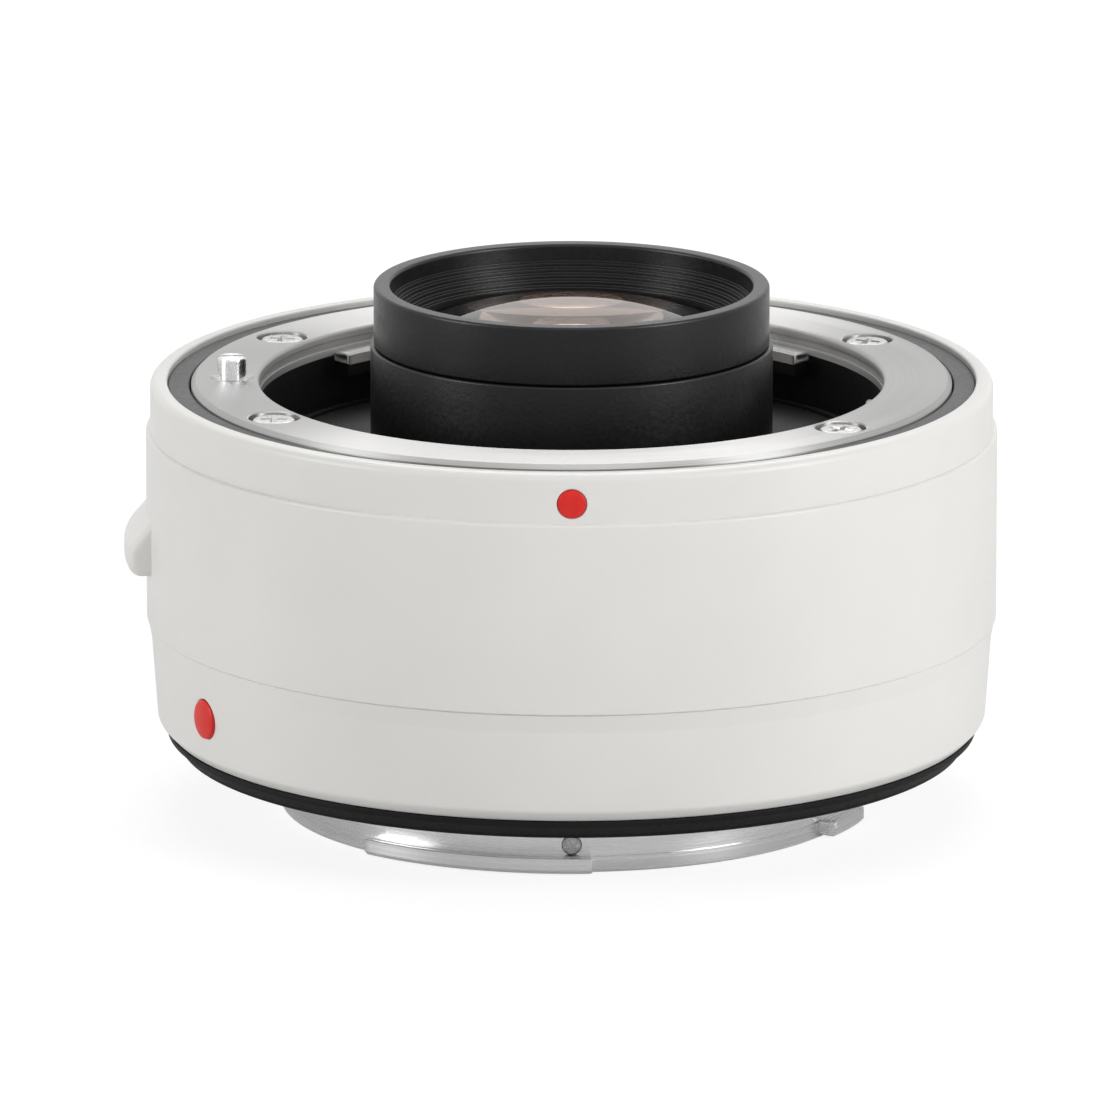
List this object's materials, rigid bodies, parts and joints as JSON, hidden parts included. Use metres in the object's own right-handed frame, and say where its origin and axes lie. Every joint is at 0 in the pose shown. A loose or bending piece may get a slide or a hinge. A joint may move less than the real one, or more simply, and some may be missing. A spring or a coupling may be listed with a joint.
{
  "type": "camera teleconverter",
  "caption": "Short white-barrelled teleconverter: female bayonet with lock pin and raised lens barrel on top, male bayonet with seal below, side release slider.",
  "frame": {"origin": "on the optical axis, in the face of the rear flange that sits on the camera", "axes": "+Z along the optical axis towards the lens, -Y towards the lens index mark, -X towards the release slider"},
  "size_m": [0.0739, 0.072, 0.0449],
  "materials": {
    "white_paint": "satin",
    "mount_steel": "brushed",
    "chrome": "polished",
    "screw_steel": "satin",
    "spring_steel": "satin",
    "black_barrel": "matte",
    "black_plastic": "matte",
    "trim_grey": "satin",
    "rubber": "matte",
    "red_mark": "gloss",
    "frame_alloy": "cast",
    "glass": "coated",
    "brass": "satin",
    "contact_gold": "polished",
    "board": "satin",
    "chip": "matte",
    "flex": "satin"
  },
  "bodies": {
    "housing": {"front_bezel": "white_paint", "main_barrel": "white_paint", "rear_barrel": "white_paint", "lens_index_dot": "red_mark", "camera_index_dot": "red_mark", "front_mount": "mount_steel", "front_mount_screws": "screw_steel", "front_trim_ring": "trim_grey", "throat_liner": "black_plastic", "bayonet_springs": "spring_steel", "front_baffle": "black_plastic", "front_plate": "frame_alloy", "chassis": "frame_alloy", "lens_tube": "black_barrel", "tube_screws": "screw_steel", "lens_collar": "black_barrel", "front_retainer": "black_barrel", "rear_retainer": "black_barrel", "lens_spacer": "black_barrel", "slide_guide": "black_plastic", "pin_bush": "brass", "release_spring": "spring_steel", "front_contact_block": "black_plastic", "front_contact_screws": "screw_steel", "contact_springs": "spring_steel", "circuit_board": "board", "board_chips": "chip", "board_screws": "screw_steel", "flex_cables": "flex", "rear_contact_block": "black_plastic", "rear_contact_pads": "contact_gold", "rear_contact_screws": "screw_steel", "rear_mount": "chrome", "rear_mount_screws": "screw_steel", "mount_shim": "brass", "mount_seal": "rubber", "stop_screw": "screw_steel", "rear_baffle": "black_plastic", "lens_1": "glass", "lens_2": "glass", "lens_3": "glass", "lens_4": "glass", "lens_5": "glass", "lens_6": "glass", "lens_7": "glass"},
    "release": {"release_knob": "white_paint", "release_slide": "spring_steel", "release_screws": "screw_steel", "lock_pin": "chrome"},
    "contact_1": {"contact_pin_1": "contact_gold"},
    "contact_2": {"contact_pin_2": "contact_gold"},
    "contact_3": {"contact_pin_3": "contact_gold"},
    "contact_4": {"contact_pin_4": "contact_gold"},
    "contact_5": {"contact_pin_5": "contact_gold"},
    "contact_6": {"contact_pin_6": "contact_gold"},
    "contact_7": {"contact_pin_7": "contact_gold"},
    "contact_8": {"contact_pin_8": "contact_gold"}
  },
  "joints": [
    {"name": "release_slide_joint", "type": "slide", "parent": "housing", "child": "release", "axis": [0, 0, 1], "range_m": [-0.002, 0], "stiffness_N_per_m": 350, "springref_m": 0.004, "deforming": ["release_spring"]},
    {"name": "contact_1_slide", "type": "slide", "parent": "housing", "child": "contact_1", "axis": [0, 0, 1], "range_m": [-0.0008, 0], "stiffness_N_per_m": 250, "springref_m": 0.0008, "deforming": ["contact_springs"]},
    {"name": "contact_2_slide", "type": "slide", "parent": "housing", "child": "contact_2", "axis": [0, 0, 1], "range_m": [-0.0008, 0], "stiffness_N_per_m": 250, "springref_m": 0.0008, "deforming": ["contact_springs"]},
    {"name": "contact_3_slide", "type": "slide", "parent": "housing", "child": "contact_3", "axis": [0, 0, 1], "range_m": [-0.0008, 0], "stiffness_N_per_m": 250, "springref_m": 0.0008, "deforming": ["contact_springs"]},
    {"name": "contact_4_slide", "type": "slide", "parent": "housing", "child": "contact_4", "axis": [0, 0, 1], "range_m": [-0.0008, 0], "stiffness_N_per_m": 250, "springref_m": 0.0008, "deforming": ["contact_springs"]},
    {"name": "contact_5_slide", "type": "slide", "parent": "housing", "child": "contact_5", "axis": [0, 0, 1], "range_m": [-0.0008, 0], "stiffness_N_per_m": 250, "springref_m": 0.0008, "deforming": ["contact_springs"]},
    {"name": "contact_6_slide", "type": "slide", "parent": "housing", "child": "contact_6", "axis": [0, 0, 1], "range_m": [-0.0008, 0], "stiffness_N_per_m": 250, "springref_m": 0.0008, "deforming": ["contact_springs"]},
    {"name": "contact_7_slide", "type": "slide", "parent": "housing", "child": "contact_7", "axis": [0, 0, 1], "range_m": [-0.0008, 0], "stiffness_N_per_m": 250, "springref_m": 0.0008, "deforming": ["contact_springs"]},
    {"name": "contact_8_slide", "type": "slide", "parent": "housing", "child": "contact_8", "axis": [0, 0, 1], "range_m": [-0.0008, 0], "stiffness_N_per_m": 250, "springref_m": 0.0008, "deforming": ["contact_springs"]}
  ]
}
